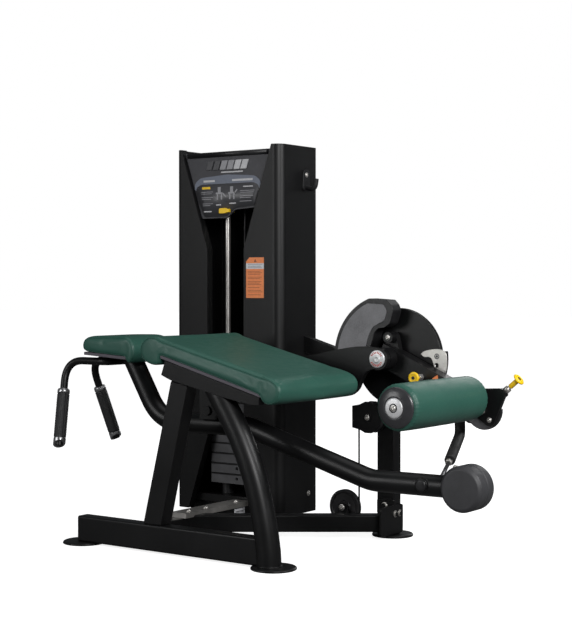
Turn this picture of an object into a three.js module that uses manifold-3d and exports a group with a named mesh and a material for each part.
// Prone leg curl: bench frame, weight tower, rocking head support, cam driven lever and roller.
// Millimetres. +X runs from the head end to the foot end, +Y towards the tower, +Z up.
// The origin is the centre of the underside of the front left foot.
import * as THREE from 'three';
import { mergeVertices } from 'three/addons/utils/BufferGeometryUtils.js';
import Module from 'manifold-3d';

const wasm = await Module();
wasm.setup();

// ---------------------------------------------------------------- driving dimensions
const GAP = 0.3;
const RAD = Math.PI / 180;

const BENCH_Y = 185;
const FOOT = { radius: 68, height: 8 };
const WELD = 1;
const FEET = { frontLeft: [6, 0], frontRight: [757, 4], rearRight: [744, 694], rearLeft: [202, 742] };

const BEAM = { near: -25, far: 25, top: 90, left: 1, right: 736 };
const CROSS = { left: 170, right: 235, top: 70, rear: 760 };
const DIAGONAL = { start: [237, 288], heading: 35.5 * RAD, width: 50, length: 640, bottom: 20, top: 76 };
const LEG_RADIUS = 36.5;

const BOARD = { slope: -0.2716, x0: 349, z0: 615.5, thick: 10, right: 730 };
const PAD = { near: -30, far: 400 };
const RAIL = { near: -30, far: 20 };

const TOWER = { left: -50, right: 400, front: 533, rear: 745, bottom: 45, top: 1306 };
const OPENING = { left: 87, right: 246, taperTop: 955, taperBottom: 303, slope: 0.33 };
const SHEET = 4;
const BEND_STEPS = 6;

const CABLE_Y = 620;
const CABLE_RADIUS = 3;
const PIVOT = { x: 812.5, z: 595.7 };
const AXLE_RADIUS = 14.5;
const CAM_GROOVE = 155;

const STACK = { x: 186, y: CABLE_Y, width: 230, depth: 96, pitch: 35.75, bottom: 138, count: 8 };
const ROD_SPREAD = 75;
const ROD_RADIUS = 9.5;

const LEVER = { slope: -24.5 * RAD, height: 70, near: 550, far: 600 };
const SECTOR = { x: 1212, z: 458, radius: 60, near: 442, far: 450 };
const ROLLER = { x: 1187, z: 495, radius: 67, near: -18, far: 400 };

const ROCK = { x: 400, z: 436 };
const RIDE_RADIUS = 32;
const TAIL = { x: 1296, z: 261, radius: 66 };
const TAIL_BOLT = { x: 1167, z: 262 };

// ---------------------------------------------------------------- finishes
const look = (color, roughness, metalness) =>
  new THREE.MeshStandardMaterial({ color, roughness, metalness });
const PAINT = look(0x232426, 0.5, 0.3);
const SHROUD = look(0x2c2d2f, 0.6, 0.1);
const VINYL = look(0x1c5143, 0.5, 0);
const PLASTIC = look(0x1c1d1f, 0.6, 0);
const GREY_PLASTIC = look(0x53555a, 0.6, 0);
const STEEL = look(0xc4c6c8, 0.3, 1);
const PLATE_IRON = look(0x47494c, 0.6, 0.4);
const RUBBER = look(0x1a1a1b, 0.85, 0);
const YELLOW = look(0xf2c10a, 0.4, 0);
const BOARD_EDGE = look(0x77727a, 0.7, 0);

// ---------------------------------------------------------------- solid helpers
function solid(geometry) {
  geometry.deleteAttribute('normal');
  geometry.deleteAttribute('uv');
  const merged = mergeVertices(geometry, 1e-3);
  return new wasm.Manifold(
    new wasm.Mesh({
      numProp: 3,
      vertProperties: new Float32Array(merged.attributes.position.array),
      triVerts: new Uint32Array(merged.index.array),
    }),
  );
}

function box(x, y, z) {
  const shape = new THREE.BoxGeometry(x[1] - x[0], y[1] - y[0], z[1] - z[0]);
  shape.translate((x[0] + x[1]) / 2, (y[0] + y[1]) / 2, (z[0] + z[1]) / 2);
  return solid(shape);
}

// Turns a profile of [radius, height] points about an axis; at is a point on that axis.
function turned(profile, axis, at, segments = 32) {
  const points = profile.map(([r, h]) => new THREE.Vector2(r, h));
  const shape = new THREE.LatheGeometry(points, segments);
  if (axis === 'z') shape.rotateX(Math.PI / 2);
  if (axis === 'x') shape.rotateZ(-Math.PI / 2);
  shape.translate(...at);
  return solid(shape);
}

function rod(axis, radius, from, to, at, segments = 32) {
  const profile = [[0, from], [radius, from], [radius, to], [0, to]];
  return turned(profile, axis, at, segments);
}

const rodY = (radius, from, to, x, z, segments) => rod('y', radius, from, to, [x, 0, z], segments);
const rodZ = (radius, from, to, x, y, segments) => rod('z', radius, from, to, [x, y, 0], segments);

function outline(points) {
  return new THREE.Shape(points.map(([a, b]) => new THREE.Vector2(a, b)));
}

function rounded(a0, a1, b0, b1, radius) {
  const shape = new THREE.Shape();
  shape.absarc(a1 - radius, b0 + radius, radius, -Math.PI / 2, 0);
  shape.absarc(a1 - radius, b1 - radius, radius, 0, Math.PI / 2);
  shape.absarc(a0 + radius, b1 - radius, radius, Math.PI / 2, Math.PI);
  shape.absarc(a0 + radius, b0 + radius, radius, Math.PI, 1.5 * Math.PI);
  shape.closePath();
  return shape;
}

function extruded(shape, depth, curveSegments = 5) {
  return new THREE.ExtrudeGeometry(shape, { depth, bevelEnabled: false, curveSegments });
}

// A plate whose outline lies in the XZ plane, from y0 to y1.
function plateY(shape, y0, y1, curveSegments) {
  const made = extruded(shape, y1 - y0, curveSegments);
  made.rotateX(Math.PI / 2);
  made.translate(0, y1, 0);
  return solid(made);
}

// A plate whose outline lies in the XY plane, from z0 to z1.
function plateZ(shape, z0, z1, curveSegments) {
  const made = extruded(shape, z1 - z0, curveSegments);
  made.translate(0, 0, z0);
  return solid(made);
}

// A plate whose outline lies in the YZ plane, from x0 to x1.
function plateX(shape, x0, x1, curveSegments) {
  const made = extruded(shape, x1 - x0, curveSegments);
  const turn = new THREE.Matrix4().makeBasis(
    new THREE.Vector3(0, 1, 0),
    new THREE.Vector3(0, 0, 1),
    new THREE.Vector3(1, 0, 0),
  );
  made.applyMatrix4(turn);
  made.translate(x0, 0, 0);
  return solid(made);
}

const polar = (centre, radius, degrees) => [
  centre.x + radius * Math.cos(degrees * RAD),
  centre.z + radius * Math.sin(degrees * RAD),
];

// Points of an arc about centre, from one angle to another in degrees.
function arc(centre, radius, from, to, steps) {
  const points = [];
  for (let i = 0; i <= steps; i++) points.push(polar(centre, radius, from + ((to - from) * i) / steps));
  return points;
}

// A path that passes straight through its stations, so it is sampled only where it turns.
class Route extends THREE.Curve {
  constructor(stations) {
    super();
    this.stations = stations;
    this.steps = stations.length - 1;
  }
  getPoint(t) {
    const place = Math.min(Math.max(t, 0), 1) * this.steps;
    const index = Math.min(Math.floor(place), this.steps - 1);
    return this.stations[index].clone().lerp(this.stations[index + 1], place - index);
  }
  getPointAt(t) {
    return this.getPoint(t);
  }
  getTangentAt(t) {
    return this.getTangent(t);
  }
}

const vector = ([x, y, z]) => new THREE.Vector3(x, y, z);

// Rounds each inner corner of a run of straight lengths.
function bends(corners, radii, perBend = 6) {
  const points = corners.map(vector);
  const stations = [points[0]];
  for (let i = 1; i < points.length - 1; i++) {
    const into = points[i].clone().sub(points[i - 1]).normalize();
    const out = points[i + 1].clone().sub(points[i]).normalize();
    const reach = radii[i - 1] * Math.tan(into.angleTo(out) / 2);
    const start = points[i].clone().addScaledVector(into, -reach);
    const end = points[i].clone().addScaledVector(out, reach);
    stations.push(...new THREE.QuadraticBezierCurve3(start, points[i], end).getPoints(perBend));
  }
  stations.push(points[points.length - 1]);
  return stations;
}

function tubeAlong(path, steps, radius, segments) {
  const circle = new THREE.Shape().absarc(0, 0, radius, 0, 2 * Math.PI);
  const settings = { steps, extrudePath: path, curveSegments: segments / 2, bevelEnabled: false };
  return solid(new THREE.ExtrudeGeometry(circle, settings));
}

function bentTube(corners, radii, radius, segments = 20, perBend = 6) {
  const path = new Route(bends(corners, radii, perBend));
  return tubeAlong(path, path.steps, radius, segments);
}

// A turned profile of [radius, distance] points whose axis runs from one point towards another.
function aimed(profile, from, to, segments = 20) {
  const shape = new THREE.LatheGeometry(profile.map(([r, h]) => new THREE.Vector2(r, h)), segments);
  const heading = vector(to).sub(vector(from)).normalize();
  shape.applyQuaternion(new THREE.Quaternion().setFromUnitVectors(new THREE.Vector3(0, 1, 0), heading));
  shape.translate(...from);
  return solid(shape);
}

// The outline of the tight band round a set of circles in the XZ plane.
function hull(circles, steps = 20) {
  const points = circles.flatMap((c) => arc(c, c.radius, 0, 360 - 360 / steps, steps - 1));
  points.sort((a, b) => a[0] - b[0] || a[1] - b[1]);
  const turns = (o, a, b) => (a[0] - o[0]) * (b[1] - o[1]) - (a[1] - o[1]) * (b[0] - o[0]);
  const half = (run) => {
    const kept = [];
    for (const p of run) {
      while (kept.length > 1 && turns(kept[kept.length - 2], kept[kept.length - 1], p) <= 1e-6) kept.pop();
      kept.push(p);
    }
    return kept.slice(0, -1);
  };
  return outline([...half(points), ...half(points.reverse())]);
}

const machine = new THREE.Group();

function add(name, shape, material) {
  const { numProp, vertProperties, triVerts } = shape.getMesh();
  const geometry = new THREE.BufferGeometry();
  const positions = new Float32Array((vertProperties.length / numProp) * 3);
  for (let i = 0; i < positions.length / 3; i++) {
    positions.set(vertProperties.subarray(i * numProp, i * numProp + 3), i * 3);
  }
  geometry.setAttribute('position', new THREE.BufferAttribute(positions, 3));
  geometry.setIndex(new THREE.BufferAttribute(new Uint32Array(triVerts), 1));
  geometry.computeVertexNormals();
  const mesh = new THREE.Mesh(geometry, material);
  mesh.name = name;
  machine.add(mesh);
}

const joined = (first, ...rest) => rest.reduce((all, piece) => all.add(piece), first);
const cut = (first, ...rest) => rest.reduce((all, piece) => all.subtract(piece), first);

// ---------------------------------------------------------------- floor frame
function footDisc([x, y]) {
  const { radius, height } = FOOT;
  const profile = [[0, 0], [radius, 0], [radius, height - 3], [radius - 4, height], [0, height]];
  return turned(profile, 'z', [x, y, 0], 26);
}

const LEG_PATH = new THREE.CatmullRomCurve3(
  [
    [505, 0, 590],
    [562, 0, 501],
    [635, 0, 386],
    [688, 0, 271],
    [722, 0, 156],
    [740, 0, 60],
    [745, 0, -12],
  ].map(vector),
);
const railUnderside = (x) => 541 - 0.2115 * (x - 391.5);

function frontFrame() {
  const floorLevel = FOOT.height - WELD;
  const beam = plateX(rounded(BEAM.near, BEAM.far, floorLevel, BEAM.top, 5), BEAM.left, BEAM.right, 3);
  const upright = outline([
    [278, BEAM.top - WELD],
    [349, BEAM.top - WELD],
    [456, railUnderside(456)],
    [391.5, railUnderside(391.5)],
  ]);
  const aboveRail = outline([
    [300, 700],
    [300, railUnderside(300) - GAP],
    [900, railUnderside(900) - GAP],
    [900, 700],
  ]);
  const leg = cut(tubeAlong(LEG_PATH, 10, LEG_RADIUS, 22), box([500, 900], [-100, 100], [-100, floorLevel]));
  return cut(
    joined(
      beam,
      plateY(upright, BEAM.near, BEAM.far),
      leg,
      footDisc(FEET.frontLeft),
      footDisc(FEET.frontRight),
    ),
    plateY(aboveRail, -100, 100),
  );
}
add('front_frame', frontFrame(), PAINT);

// ---------------------------------------------------------------- cable pulleys: places
const RISER_X = 308;
const TOP_GROOVE = (RISER_X - STACK.x) / 2;
const PULLEYS = {
  floor: { x: 605, z: 92, groove: 54 },
  upper: { x: 704, z: PIVOT.z - CAM_GROOVE - 45, groove: 45 },
  base: { x: RISER_X + 38, z: 76, groove: 38 },
  top: { x: STACK.x + TOP_GROOVE, z: 1190, groove: TOP_GROOVE },
};

function pulleyAxle({ x, z }, from, to) {
  return joined(rodY(9.6, from, to, x, z, 16), rodY(15, from, from + 5, x, z, 6));
}

// ---------------------------------------------------------------- rear floor frame and pivot post
const POST = { left: 700, right: 766, near: 665, far: 711, top: 652 };

function diagonalBeam() {
  const { start, heading, width, length, bottom, top } = DIAGONAL;
  const bar = plateX(rounded(-width / 2, width / 2, bottom, top, 5), -40, length, 3)
    .rotate([0, 0, heading / RAD])
    .translate([start[0], start[1], 0]);
  const { x, z, groove } = PULLEYS.floor;
  return cut(
    bar,
    box([POST.right, 900], [500, 900], [0, 200]),
    box([500, 900], [POST.near - GAP, 900], [0, 200]),
    rodY(groove + 9, 609, 700, x, z, 24),
  );
}

function floorPulleyBracket({ x, z }) {
  const cheek = plateY(outline([[x - 26, 40], [x + 26, 40], [x + 16, z + 14], [x - 16, z + 14]]), 603, 608);
  return joined(cheek, box([x - 26, x + 26], [552, 608], [40, 70]), pulleyAxle({ x, z }, 598, 636));
}

function baseFrame() {
  const { left, right, top, rear } = CROSS;
  const crossBeam = plateY(rounded(left, right, FOOT.height - WELD, top, 5), BEAM.far + GAP, rear, 3);
  return joined(crossBeam, footDisc(FEET.rearLeft), diagonalBeam(), floorPulleyBracket(PULLEYS.floor));
}
add('base_frame', baseFrame(), PAINT);

function pivotPost() {
  const { left, right, near, far, top } = POST;
  const column = plateZ(rounded(left, right, near, far, 5), FOOT.height - WELD, top, 3);
  const earShape = hull([{ x: left + 34, z: 600, radius: 33 }, { ...PIVOT, radius: 44 }]);
  const ear = plateY(earShape, near - 15, near + 5);
  const brace = plateY(
    outline([
      [TOWER.right + GAP, 655],
      [left + WELD, 566],
      [left + WELD, 516],
      [TOWER.right + GAP, 600],
    ]),
    672,
    702,
  );
  return cut(
    joined(column, ear, brace, footDisc(FEET.rearRight)),
    rodY(AXLE_RADIUS + GAP, 600, 800, PIVOT.x, PIVOT.z, 24),
  );
}
add('pivot_post', pivotPost(), PAINT);

function cornerBracket() {
  const side = plateX(rounded(575, 712, 12, 106, 10), POST.right + GAP, POST.right + 7, 3);
  const front = plateY(rounded(707, POST.right + 7, DIAGONAL.top + GAP, 122, 4), 655, POST.near - GAP);
  const bolts = [
    rodY(8, 645, 660, 736, 103, 6),
    rod('x', 8, POST.right + 3, POST.right + 15, [0, 662, 78], 6),
    rod('x', 8, POST.right + 3, POST.right + 15, [0, 690, 78], 6),
  ];
  return joined(side, front, ...bolts);
}
add('post_corner_bracket', cornerBracket(), PAINT);

// ---------------------------------------------------------------- bench
const boardTop = (x) => BOARD.z0 + BOARD.slope * (x - BOARD.x0);
const boardUnder = (x) => boardTop(x) - BOARD.thick;

function slopedPlate(x0, x1, top, under, y0, y1) {
  return plateY(outline([[x0, under(x0)], [x1, under(x1)], [x1, top(x1)], [x0, top(x0)]]), y0, y1);
}

const PIVOT_ARM_NEAR = 487;
const PIVOT_ARM_FAR = 508;
const ROCK_PIN_RADIUS = 10;

function padTray() {
  const top = (x) => boardUnder(x) - GAP;
  const railShape = outline([
    [372, top(372)],
    [356, 555],
    [391.5, railUnderside(391.5)],
    [609, railUnderside(609)],
    [700, 480],
    [728, 481],
    [728, top(728)],
  ]);
  const near = plateY(railShape, RAIL.near, RAIL.far);
  const far = plateY(railShape, 340, 390);
  const cross = [[392, 452], [618, 668]].map(([x0, x1]) =>
    slopedPlate(x0, x1, top, (x) => top(x) - 38, RAIL.far - 1, PIVOT_ARM_NEAR - GAP),
  );
  return cut(
    joined(near, far, ...cross, rockBracket()),
    rodY(ROCK_PIN_RADIUS + GAP, 100, 300, ROCK.x, ROCK.z, 20),
  );
}

// Two cheeks under the tray that carry the rocker pivot.
function rockBracket() {
  const foot = (x) => boardUnder(x) - 38;
  const shape = outline([
    [366, foot(366) - 8],
    [368, 408],
    [436, 408],
    [446, foot(446) - 2],
    [446, foot(446)],
    [366, foot(366)],
  ]);
  const bridge = slopedPlate(394, 446, foot, (x) => foot(x) - 8, 143, 227);
  return joined(plateY(shape, 143, 151), plateY(shape, 219, 227), bridge);
}
add('pad_tray', padTray(), PAINT);
add(
  'rocker_pivot_pin',
  joined(
    rodY(ROCK_PIN_RADIUS, 136, 234, ROCK.x, ROCK.z, 20),
    rodY(15, 136, 142.6, ROCK.x, ROCK.z, 20),
    rodY(15, 227.4, 234, ROCK.x, ROCK.z, 20),
  ),
  STEEL,
);

const boardSides = [PAD.near + 4, PAD.far - 4];
add('main_pad_board', slopedPlate(BOARD.x0, BOARD.right, boardTop, boardUnder, ...boardSides), BOARD_EDGE);

const mainPadOutline = outline([
  [348.6, boardTop(348.6) + GAP],
  [348.6, 592],
  [338, 585],
  [318, 583],
  [292, 590],
  [273, 605],
  [266, 626],
  [274, 651],
  [297, 668],
  [325, 671],
  [367, 655],
  [514, 617],
  [721, 567],
  [775, 552],
  [797, 536],
  [801, 515],
  [792, 494],
  [772, 482],
  [752, 481],
  [738, 490],
  [730.4, 500],
  [730.4, boardTop(730.4) + GAP],
]);
add('main_pad', plateY(mainPadOutline, PAD.near, PAD.far), VINYL);

function pivotArm() {
  const shape = outline([
    [384, 548],
    [384, 575],
    [470, 588],
    [570, 602],
    [650, 621],
    [746, 636],
    [790, 633],
    ...arc(PIVOT, 36, 75, -120, 10),
    [765, 551],
    [748, 522],
    [735, 492],
    [700, 470],
    [610, 468],
    [470, 500],
  ]);
  return cut(
    plateY(shape, PIVOT_ARM_NEAR, PIVOT_ARM_FAR),
    rodY(AXLE_RADIUS + GAP, 400, 600, PIVOT.x, PIVOT.z),
  );
}
add('near_pivot_arm', pivotArm(), PAINT);

// ---------------------------------------------------------------- weight tower
// Half of the tower skin: a front panel tapered at both ends of the opening, and a side panel.
function shroud(isLeft) {
  const { front, rear, bottom, top } = TOWER;
  const inner = isLeft ? OPENING.left : OPENING.right;
  const outer = isLeft ? TOWER.left : TOWER.right;
  const side = isLeft ? 1 : -1;
  const { taperTop, taperBottom, slope } = OPENING;
  const topIn = inner - side * slope * (top - taperTop);
  const bottomIn = inner - side * slope * (taperBottom - bottom);
  const corner = isLeft ? 18 : 33;
  const frontPanel = plateY(
    outline([
      [outer + side * corner, bottom],
      [bottomIn, bottom],
      [inner, taperBottom],
      [inner, taperTop],
      [topIn, top],
      [outer + side * corner, top],
    ]),
    front,
    front + SHEET,
  );
  const sidePanel = box(
    isLeft ? [outer, outer + SHEET] : [outer - SHEET, outer],
    [front + corner, rear],
    [bottom, top],
  );
  const centre = { x: outer + side * corner, z: front + corner };
  const sweep = isLeft ? [180, 270] : [360, 270];
  const bendOuter = arc(centre, corner, ...sweep, BEND_STEPS);
  const bendInner = arc(centre, corner - SHEET, sweep[1], sweep[0], BEND_STEPS);
  const bend = plateZ(outline([...bendOuter, ...bendInner]), bottom, top);
  const returnShape = outline([
    [inner, taperBottom],
    [inner, taperTop],
    [topIn, top],
    [topIn + side * -SHEET, top],
    [inner + side * -SHEET, taperTop],
    [inner + side * -SHEET, taperBottom],
    [bottomIn + side * -SHEET, bottom],
    [bottomIn, bottom],
  ]);
  const returned = plateY(returnShape, front, front + 30);
  const flangeSpan = isLeft ? [outer, outer + 40] : [outer - 40, outer];
  const rearFlange = box(flangeSpan, [rear - SHEET, rear], [bottom, top]);
  return joined(frontPanel, sidePanel, bend, returned, rearFlange);
}
add('tower_left_shroud', shroud(true), SHROUD);
add('tower_right_shroud', shroud(false), SHROUD);

const INSIDE = { left: TOWER.left + SHEET + GAP, right: TOWER.right - SHEET - GAP };
const ROD_TOP = 1110;
const rodPlaces = [STACK.x - ROD_SPREAD, STACK.x + ROD_SPREAD];

function holes(radius, places, z0, z1) {
  return places.map(([x, y]) => rodZ(radius, z0, z1, x, y, 10));
}
add(
  'tower_base',
  joined(
    cut(
      plateZ(rounded(INSIDE.left, INSIDE.right, 570, 740, 6), CROSS.top + GAP, 96, 3),
      box([RISER_X - 6, INSIDE.right + 5], [608, 632], [60, 110]),
      ...holes(ROD_RADIUS + 1, rodPlaces.map((x) => [x, STACK.y]), 60, 120),
    ),
    rodY(9.6, 600, 640, PULLEYS.base.x, PULLEYS.base.z, 16),
  ),
  PAINT,
);
const hangerX = PULLEYS.top.x;
add(
  'tower_top_plate',
  joined(
    box([INSIDE.left, INSIDE.right], [564, 740], [1264, 1280]),
    box([hangerX - 20, hangerX + 20], [646, 654], [1170, 1265]),
    pulleyAxle(PULLEYS.top, 604, 650),
  ),
  PAINT,
);
const BACK = { inset: 41, bottom: 100, top: 1300 };
add(
  'tower_back_panel',
  box(
    [TOWER.left + BACK.inset, TOWER.right - BACK.inset],
    [TOWER.rear - SHEET, TOWER.rear],
    [BACK.bottom, BACK.top],
  ),
  SHROUD,
);

function header() {
  const { left, right, taperTop, slope } = OPENING;
  const widthAt = (z, side) => (side < 0 ? left : right) + side * (slope * (z - taperTop) - GAP);
  const lower = 1062;
  const upper = 1292;
  const face = outline([
    [widthAt(lower, -1), lower],
    [widthAt(lower, 1), lower],
    [widthAt(upper, 1), upper],
    [widthAt(upper, -1), upper],
  ]);
  return plateY(face, 546, 554);
}
add('header_panel', header(), PLASTIC);

// ---------------------------------------------------------------- weight stack
rodPlaces.forEach((x, i) => {
  const rod = rodZ(ROD_RADIUS, CROSS.top + GAP, ROD_TOP, x, STACK.y, 18);
  add(i ? 'guide_rod_right' : 'guide_rod_left', rod, STEEL);
  const bumper = cut(
    rodZ(20, 96 + GAP, STACK.bottom - GAP, x, STACK.y, 16),
    rodZ(ROD_RADIUS + 1, 90, 150, x, STACK.y, 14),
  );
  add(i ? 'stack_bumper_right' : 'stack_bumper_left', bumper, RUBBER);
});

const plateBottom = (index) => STACK.bottom + (STACK.count - index) * STACK.pitch;
function weightPlate(index) {
  const bottom = plateBottom(index);
  const top = bottom + STACK.pitch - 0.8;
  const { x, y, width, depth } = STACK;
  const middle = bottom + STACK.pitch / 2;
  return cut(
    plateZ(rounded(x - width / 2, x + width / 2, y - depth / 2, y + depth / 2, 5), bottom, top, 2),
    ...holes(ROD_RADIUS + 1, rodPlaces.map((place) => [place, y]), bottom - 1, top + 1),
    rodZ(13, bottom - 1, top + 1, x, y, 10),
    rodY(6, y - depth / 2 - 1, y, x, middle, 8),
  );
}
for (let i = 1; i <= STACK.count; i++) add(`weight_plate_0${i}`, weightPlate(i), PLATE_IRON);

const HEAD_PLATE_Z = STACK.bottom + STACK.count * STACK.pitch;
const PINNED = 3;
const pinZ = plateBottom(PINNED) + STACK.pitch / 2;
function headPlate() {
  const { x, y, width, depth } = STACK;
  const shape = rounded(x - width / 2, x + width / 2, y - depth / 2, y + depth / 2, 5);
  return cut(
    joined(
      plateZ(shape, HEAD_PLATE_Z, HEAD_PLATE_Z + 34, 2),
      rodZ(16, HEAD_PLATE_Z + 30, HEAD_PLATE_Z + 60, x, y, 18),
    ),
    ...holes(ROD_RADIUS + 1, rodPlaces.map((place) => [place, y]), HEAD_PLATE_Z - 1, HEAD_PLATE_Z + 80),
    rodZ(11.3, HEAD_PLATE_Z - 5, HEAD_PLATE_Z + 20, x, y, 16),
  );
}
add('stack_head_plate', headPlate(), PLATE_IRON);
add(
  'selector_rod',
  cut(
    rodZ(11, STACK.bottom + 6, HEAD_PLATE_Z + 19, STACK.x, STACK.y, 16),
    rodY(5.6, STACK.y - 40, STACK.y + 40, STACK.x, pinZ, 10),
  ),
  STEEL,
);
add(
  'selector_pin',
  joined(
    rodY(5, STACK.y - 80, STACK.y + 8, STACK.x, pinZ, 10),
    turned([[0, 0], [13, 2], [16, 10], [16, 18], [12, 24], [0, 24]], 'y', [STACK.x, STACK.y - 102, pinZ], 18),
  ),
  YELLOW,
);
add(
  'rod_top_bracket',
  cut(
    box([INSIDE.left, INSIDE.right], [598, 642], [ROD_TOP - 16, ROD_TOP - 6]),
    ...holes(ROD_RADIUS + 1, rodPlaces.map((x) => [x, STACK.y]), 1000, 1200),
    ...holes(8, [[STACK.x, STACK.y], [RISER_X, STACK.y]], 1000, 1200),
  ),
  PAINT,
);

// ---------------------------------------------------------------- pulleys and cable
function pulley({ x, z, groove }) {
  const rim = groove + 4;
  const half = [[10, -8], [rim, -8], [groove - 3.5, -1.5]];
  const mirrored = half.map(([r, y]) => [r, -y]).reverse();
  return turned([...half, ...mirrored, half[0]], 'y', [x, CABLE_Y, z], 22);
}
for (const [place, data] of Object.entries(PULLEYS)) add(`${place}_pulley`, pulley(data), PLASTIC);

function upperPulleyGuard({ x, z }) {
  const left = x - 62;
  const cheek = outline([[left, z - 36], ...arc({ x, z }, 53, -128, 128, 10), [left, z + 36]]);
  const spine = box([left, left + 4], [603, 637], [z - 36, z + 36]);
  const foot = box([x - 2, x + 40], [634, POST.near - GAP], [z - 30, z + 20]);
  return joined(
    plateY(cheek, 603, 607),
    plateY(cheek, 633, 637),
    spine,
    foot,
    pulleyAxle({ x, z }, 598, 636),
  );
}
add('upper_pulley_guard', upperPulleyGuard(PULLEYS.upper), PAINT);

const cableArc = ({ x, z, groove }, from, to, steps) =>
  arc({ x, z }, groove + 0.4, from, to, steps).map(([a, b]) => vector([a, CABLE_Y, b]));

// The cable at rest, from over the stack, down the tower, along the floor and up to the cam.
const mainCable = new Route([
  ...cableArc(PULLEYS.top, 180, 0, 12),
  ...cableArc(PULLEYS.base, 180, 270, 6),
  ...cableArc(PULLEYS.floor, 270, 360, 6),
  ...cableArc(PULLEYS.upper, 180, 90, 6),
  vector([PIVOT.x - GAP, CABLE_Y, PIVOT.z - CAM_GROOVE - 0.4]),
]);
add('main_cable', tubeAlong(mainCable, mainCable.steps, CABLE_RADIUS, 6), PLASTIC);
add(
  'stack_cable',
  rodZ(CABLE_RADIUS, HEAD_PLATE_Z + 60 + GAP, PULLEYS.top.z - 2 * GAP, STACK.x - 0.4, CABLE_Y, 8),
  PLASTIC,
);

// ---------------------------------------------------------------- cam
const PIN_RADIUS = 6;
const PIN_CIRCLE = 135;
function cam() {
  const rim = CAM_GROOVE + 5;
  const wheel = turned(
    [
      [AXLE_RADIUS + GAP, -16],
      [32, -16],
      [32, -9],
      [rim, -9],
      [rim, -6],
      [CAM_GROOVE - 3.5, -1.5],
      [CAM_GROOVE - 3.5, 1.5],
      [rim, 6],
      [rim, 9],
      [32, 9],
      [32, 22],
      [AXLE_RADIUS + GAP, 22],
      [AXLE_RADIUS + GAP, -16],
    ],
    'y',
    [PIVOT.x, CABLE_Y, PIVOT.z],
    36,
  );
  const tab = plateY(outline([...arc(PIVOT, 187, -21, 8, 8), ...arc(PIVOT, 120, 8, -21, 4)]), 604, 612);
  const slot = plateY(
    outline([...arc(PIVOT, PIN_CIRCLE - 7, -28, 26, 10), ...arc(PIVOT, PIN_CIRCLE + 7, 26, -28, 10)]),
    600,
    640,
  );
  return cut(joined(wheel, tab), slot);
}
add('cam', cam(), PAINT);
add(
  'cam_hook_plate',
  cut(
    plateY(
      outline([
        [905, 610], [912, 618], [930, 623], [960, 628], [986, 625], [998, 614],
        [1001, 580], [997, 556], [986, 541], [972, 545], [956, 558], [950, 580],
        [946, 596], [934, 602], [922, 600], [912, 602],
      ]),
      600.6,
      604 - GAP,
    ),
    rodY(7.5, 590, 610, 962, 575, 16),
  ),
  STEEL,
);

const axleProfile = [
  [0, 480],
  [24, 480.5],
  [28.5, 483],
  [28.5, 486.3],
  [AXLE_RADIUS, 486.3],
  [AXLE_RADIUS, 668],
  [0, 668],
];
add('pivot_axle', turned(axleProfile, 'y', [PIVOT.x, 0, PIVOT.z], 20), STEEL);

// ---------------------------------------------------------------- lever
const along = (distance, lift = 0) => ({
  x: PIVOT.x + distance * Math.cos(LEVER.slope) - lift * Math.sin(LEVER.slope),
  z: PIVOT.z + distance * Math.sin(LEVER.slope) + lift * Math.cos(LEVER.slope),
});
const EAR = { x: PIVOT.x - 2, z: PIVOT.z + 66 };
const startPin = along(PIN_CIRCLE);

function lever() {
  const half = LEVER.height / 2;
  const corners = [[-34, -half], [405, -half], [405, half], [-34, half]].map(([d, lift]) => along(d, lift));
  const bar = plateY(outline(corners.map(({ x, z }) => [x, z])), LEVER.near, LEVER.far);
  const tab = plateY(hull([{ ...PIVOT, radius: 30 }, { ...EAR, radius: 18 }]), 575.5, LEVER.far);
  const hub = rodY(35, PIVOT_ARM_FAR + 3, LEVER.near + 1, PIVOT.x, PIVOT.z);
  const stub = rodY(22, SECTOR.far + GAP, LEVER.near + 1, along(385).x, along(385).z, 24);
  return cut(
    joined(bar, tab, hub, stub),
    rodY(AXLE_RADIUS + GAP, 500, 620, PIVOT.x, PIVOT.z),
    rodY(PIN_RADIUS + GAP, 500, 620, startPin.x, startPin.z, 16),
  );
}
add('lever_arm', lever(), PAINT);

function counterweight() {
  const local = [
    [-2, 187],
    [13, 172],
    [21, 152],
    [8, 112],
    [-12, 98],
    [-36, 96],
    [-50, 82],
    [-56, 60],
    [-70, 20],
    [-74, -10],
  ].map(([x, z]) => [PIVOT.x + x, PIVOT.z + z]);
  const fan = plateY(outline([...arc(PIVOT, 203.5, 186, 110, 16), ...local]), 546, 599);
  const ear = plateY(
    hull([{ ...EAR, radius: 18 }, { x: PIVOT.x - 30, z: PIVOT.z + 112, radius: 20 }]),
    552,
    575,
  );
  const tabSpace = plateY(hull([{ ...PIVOT, radius: 32 }, { ...EAR, radius: 20 }]), 575.2, 610);
  return cut(joined(fan, ear), tabSpace);
}
add('lever_counterweight', counterweight(), GREY_PLASTIC);

add(
  'start_pin',
  turned(
    [
      [0, 499],
      [15, 499.5],
      [17, 502],
      [17, 507],
      [13, 510],
      [8, 512],
      [8, 528.7],
      [PIN_RADIUS, 528.7],
      [PIN_RADIUS, 618],
      [0, 618],
    ],
    'y',
    [startPin.x, 0, startPin.z],
    16,
  ),
  YELLOW,
);

// ---------------------------------------------------------------- roller carrier
function sector() {
  const disc = rodY(SECTOR.radius, SECTOR.near, SECTOR.far, SECTOR.x, SECTOR.z, 30);
  const notches = [10, 25, 40, 55, 70].map((angle) => {
    const [x, z] = polar(SECTOR, SECTOR.radius + 1, angle);
    return rodY(5.5, SECTOR.near - 1, SECTOR.far + 1, x, z, 8);
  });
  return cut(disc, ...notches, rodY(8.3, 400, 460, SECTOR.x, SECTOR.z, 16));
}
add('adjuster_sector', sector(), STEEL);

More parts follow.
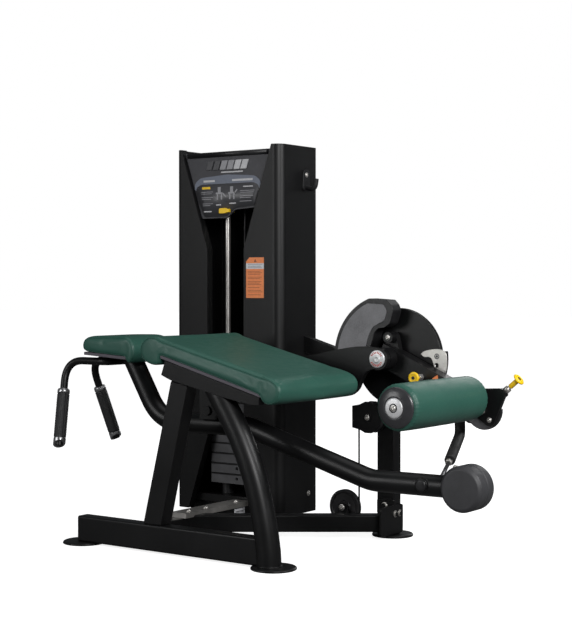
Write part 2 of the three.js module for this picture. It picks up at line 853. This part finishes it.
const ADJUSTER_HEADING = 40 * RAD;
const PIN_Y = (SECTOR.near + SECTOR.far) / 2;
const onPin = (distance) => [
  SECTOR.x + distance * Math.cos(ADJUSTER_HEADING),
  PIN_Y,
  SECTOR.z + distance * Math.sin(ADJUSTER_HEADING),
];
const CARRIER_NEAR = 428;
function rollerCarrier() {
  const shape = hull([
    { ...SECTOR, radius: 26 },
    { ...ROLLER, radius: 26 },
    { x: onPin(78)[0], z: onPin(78)[2], radius: 17 },
    { x: 1238, z: 428, radius: 17 },
  ]);
  const plate = plateY(shape, CARRIER_NEAR, SECTOR.near - GAP);
  const barrel = aimed([[0, 0], [15, 0], [15, 22], [10, 24], [10, 38], [0, 38]], onPin(66), onPin(120));
  return cut(
    joined(plate, barrel),
    aimed([[0, -20], [5.4, -20], [5.4, 90], [0, 90]], onPin(66), onPin(120), 14),
    rodY(8.3, 400, 460, SECTOR.x, SECTOR.z, 16),
  );
}
add('roller_carrier', rollerCarrier(), PAINT);
add(
  'carrier_pivot_bolt',
  joined(
    rodY(8, CARRIER_NEAR - 8, SECTOR.far, SECTOR.x, SECTOR.z, 16),
    rodY(14, CARRIER_NEAR - 8, CARRIER_NEAR - GAP, SECTOR.x, SECTOR.z, 6),
  ),
  STEEL,
);
add(
  'roller_pin',
  aimed(
    [[0, -5], [5, -5], [5, 38.6], [7, 39], [8, 58], [12, 64], [17, 67], [17, 72], [14, 75], [0, 75.5]],
    onPin(66),
    onPin(120),
    16,
  ),
  YELLOW,
);
add('roller_axle', rodY(12, -17.6, CARRIER_NEAR - GAP, ROLLER.x, ROLLER.z, 24), STEEL);

const { radius: ROLL, near: ROLL_NEAR, far: ROLL_FAR } = ROLLER;
const rollerProfile = [
  [12.6, ROLL_NEAR],
  [ROLL - 7, ROLL_NEAR],
  [ROLL, ROLL_NEAR + 8],
  [ROLL, ROLL_FAR - 8],
  [ROLL - 7, ROLL_FAR],
  [12.6, ROLL_FAR],
  [12.6, ROLL_NEAR],
];
add('roller_pad', turned(rollerProfile, 'y', [ROLLER.x, 0, ROLLER.z], 26), VINYL);
add(
  'roller_near_cap',
  turned([[0, -33], [34, -30], [50, -23], [55, -18.3], [0, -18.3]], 'y', [ROLLER.x, 0, ROLLER.z], 20),
  GREY_PLASTIC,
);
const farCap = [[12.6, ROLL_FAR + GAP], [52, ROLL_FAR + GAP], [48, 412], [12.6, 418], [12.6, ROLL_FAR + GAP]];
add('roller_far_cap', turned(farCap, 'y', [ROLLER.x, 0, ROLLER.z], 20), GREY_PLASTIC);

// ---------------------------------------------------------------- rocking head support
const headBoardUnder = (x) => 600 - 0.06 * (x + 78);
const headBoardTop = (x) => headBoardUnder(x) + 10;

function rocker() {
  const tube = bentTube(
    [[34, BENCH_Y, 616], [170, BENCH_Y, 389], [529, BENCH_Y, 389], [981, BENCH_Y, 258], [1250, BENCH_Y, 260]],
    [140, 180, 180],
    RIDE_RADIUS,
    18,
    4,
  );
  const table = slopedPlate(-42, 96, (x) => headBoardUnder(x) - GAP, (x) => headBoardUnder(x) - 6, 130, 240);
  const aboveShape = outline([
    [-200, headBoardUnder(-200) - 2],
    [400, headBoardUnder(400) - 2],
    [400, 800],
    [-200, 800],
  ]);
  const above = plateY(aboveShape, 0, 400);
  const tail = rodY(TAIL.radius + 4 * GAP, 0, 400, TAIL.x, TAIL.z, 26);
  const lug = rodY(26, BENCH_Y - 30, BENCH_Y + 30, ROCK.x, ROCK.z - 2, 20);
  const web = box([ROCK.x - 26, ROCK.x + 26], [BENCH_Y - 20, BENCH_Y + 20], [405, ROCK.z - 10]);
  const boss = rodY(20, 147, 226, TAIL_BOLT.x, TAIL_BOLT.z, 16);
  return cut(
    joined(cut(tube, above, tail), table, lug, web, boss),
    rodY(10.6, 0, 400, ROCK.x, ROCK.z, 16),
  );
}
add('rocker_arm', rocker(), PAINT);
add(
  'tail_counterweight',
  turned(
    [[0, -45], [61, -45], [66, -40], [66, 40], [61, 45], [0, 45]],
    'y',
    [TAIL.x, BENCH_Y, TAIL.z],
    26,
  ),
  GREY_PLASTIC,
);

add('head_pad_board', slopedPlate(-78, 105, headBoardTop, headBoardUnder, 88, 282), BOARD_EDGE);
const headPadOutline = outline([
  [-76, headBoardTop(-76) + GAP],
  [-84, 622],
  [-84, 638],
  [-77, 652],
  [-62, 660],
  [95, 664],
  [118, 658],
  [132, 642],
  [137, 620],
  [136, 598],
  [129, 582],
  [117, 577],
  [106, 583],
  [105.4, headBoardTop(105.4) + GAP],
]);
add('head_pad', plateY(headPadOutline, 85, 285), VINYL);

const HANDLE = { radius: 11, z: 577.5, crossing: -10, front: -196, spread: 58 };
const GRIP_TIP = { x: -150, spread: 140, z: 300 };
const handleEnd = (side) => [GRIP_TIP.x, BENCH_Y + side * GRIP_TIP.spread, GRIP_TIP.z];
const handleTop = (side) => [HANDLE.front, BENCH_Y + side * HANDLE.spread, HANDLE.z];
const handleRoot = (side) => [HANDLE.crossing, BENCH_Y + side * HANDLE.spread, HANDLE.z];
add(
  'handle_bar',
  bentTube(
    [handleEnd(1), handleTop(1), handleRoot(1), handleRoot(-1), handleTop(-1), handleEnd(-1)],
    [66, 30, 30, 66],
    HANDLE.radius,
    12,
    3,
  ),
  PAINT,
);

// Sleeves are measured back from the tip of each handle.
function sleeve(side, radius, from, to) {
  const inner = HANDLE.radius + 2 * GAP;
  const ring = [[inner, from], [radius, from], [radius, to], [inner, to], [inner, from]];
  return aimed(ring, handleEnd(side), handleTop(side), 16);
}
add('grip_sleeve_near', sleeve(-1, 19, 1, 182), RUBBER);
add('grip_sleeve_far', sleeve(1, 19, 1, 182), RUBBER);

// ---------------------------------------------------------------- lever rest on the rocker tail
const leverNormal = new THREE.Vector3(-Math.sin(LEVER.slope), 0, Math.cos(LEVER.slope));
const restPoint = along(298, -LEVER.height / 2);
const restTouch = vector([restPoint.x, 572, restPoint.z]);
const below = (distance) => restTouch.clone().addScaledVector(leverNormal, -distance).toArray();
const REST_ROD = { foot: [TAIL_BOLT.x, 256, TAIL_BOLT.z], top: [1149, 350, 312] };
const restRodEnd = vector(REST_ROD.foot).lerp(vector(REST_ROD.top), 1.05).toArray();
add(
  'lever_rest',
  joined(
    bentTube([REST_ROD.top, [1063, 572, 366], below(20)], [34], 14, 12, 5),
    bentTube([REST_ROD.foot, restRodEnd], [], 6, 10),
    rodY(16, 226 + GAP, 262, TAIL_BOLT.x, TAIL_BOLT.z, 16),
    aimed([[0, 0], [17, 0], [17, 22], [0, 22]], below(24), below(0), 18).translate([0, 0, -2]),
  ),
  PAINT,
);

export default machine;
